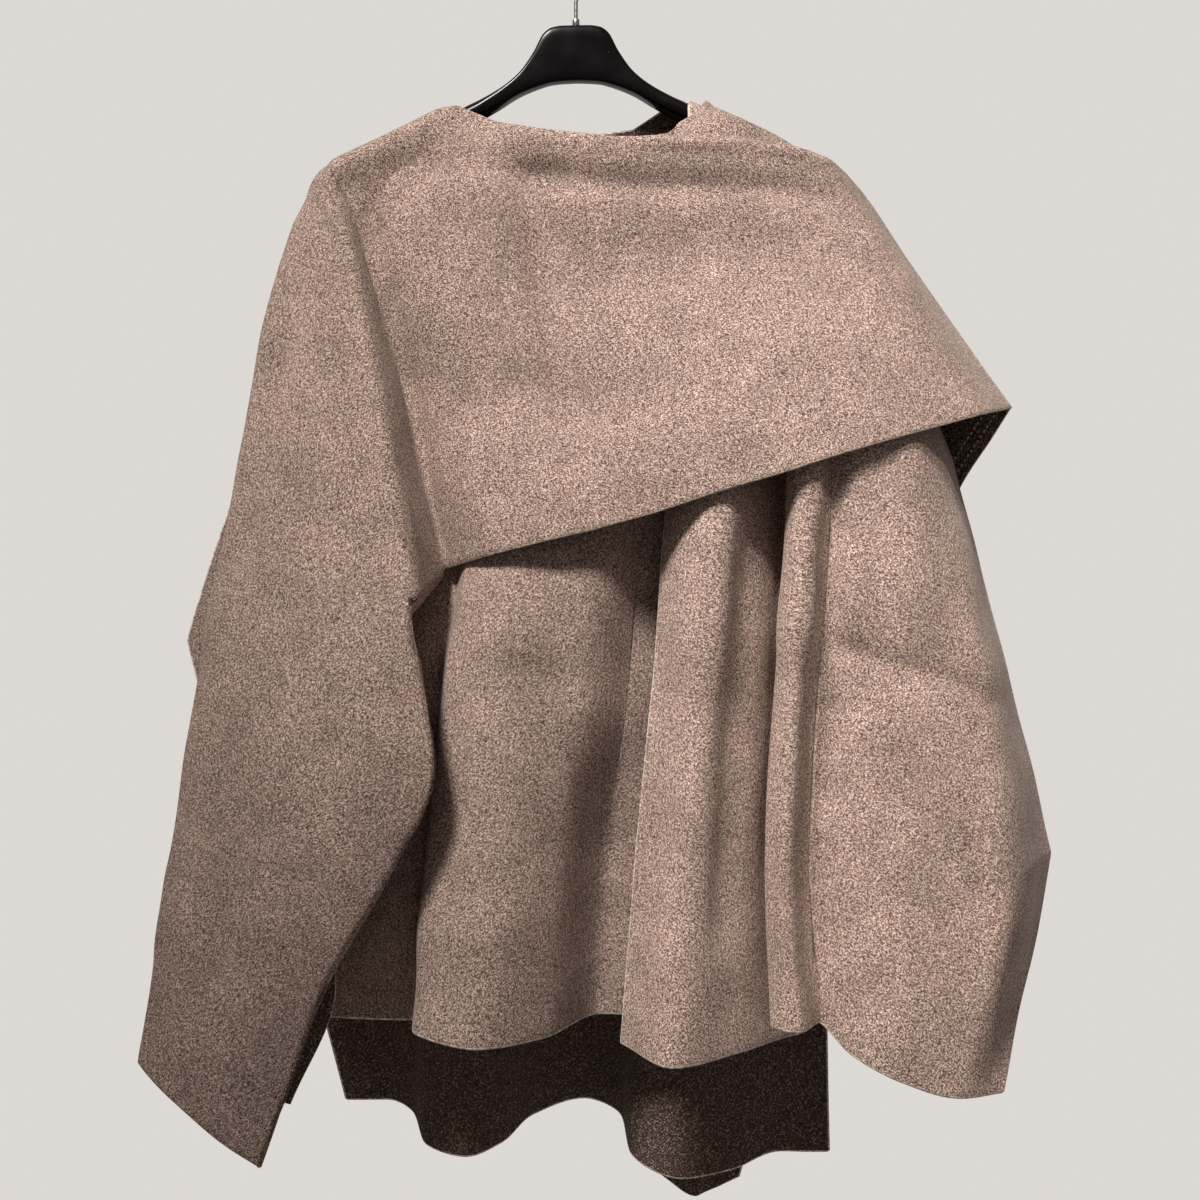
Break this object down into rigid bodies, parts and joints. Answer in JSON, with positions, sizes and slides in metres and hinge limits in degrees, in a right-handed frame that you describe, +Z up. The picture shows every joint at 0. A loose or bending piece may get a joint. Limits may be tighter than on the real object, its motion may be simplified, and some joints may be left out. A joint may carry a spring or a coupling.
{
  "type": "wool poncho with draped scarf on a coat hanger",
  "caption": "Wool poncho with a wide scarf crossed over the chest, hanging open at neck, sides and hem on a black moulded coat hanger with a wire hook.",
  "frame": {"origin": "inside of the hook's top, where a rail carries the hanger", "axes": "+Z up, -Y towards the front, +X towards the wearer's left"},
  "size_m": [0.7671, 0.2519, 1.1306],
  "materials": {
    "body_wool": "felted taupe melange outside, dark brown twill inside, raw cut edges",
    "scarf_wool": "felted taupe melange outside, dark brown twill inside, raw cut edges",
    "black_plastic": "glossy black moulding",
    "hook_steel": "bright wire",
    "ferrule_steel": "plain turned collar"
  },
  "bodies": {
    "root": {"back_panel": "body_wool", "right_front": "body_wool", "left_front": "body_wool", "scarf_chest": "scarf_wool", "scarf_drape": "scarf_wool", "scarf_tail": "scarf_wool", "hanger_body": "black_plastic", "hanger_hook": "hook_steel", "hook_ferrule": "ferrule_steel"}
  },
  "joints": []
}
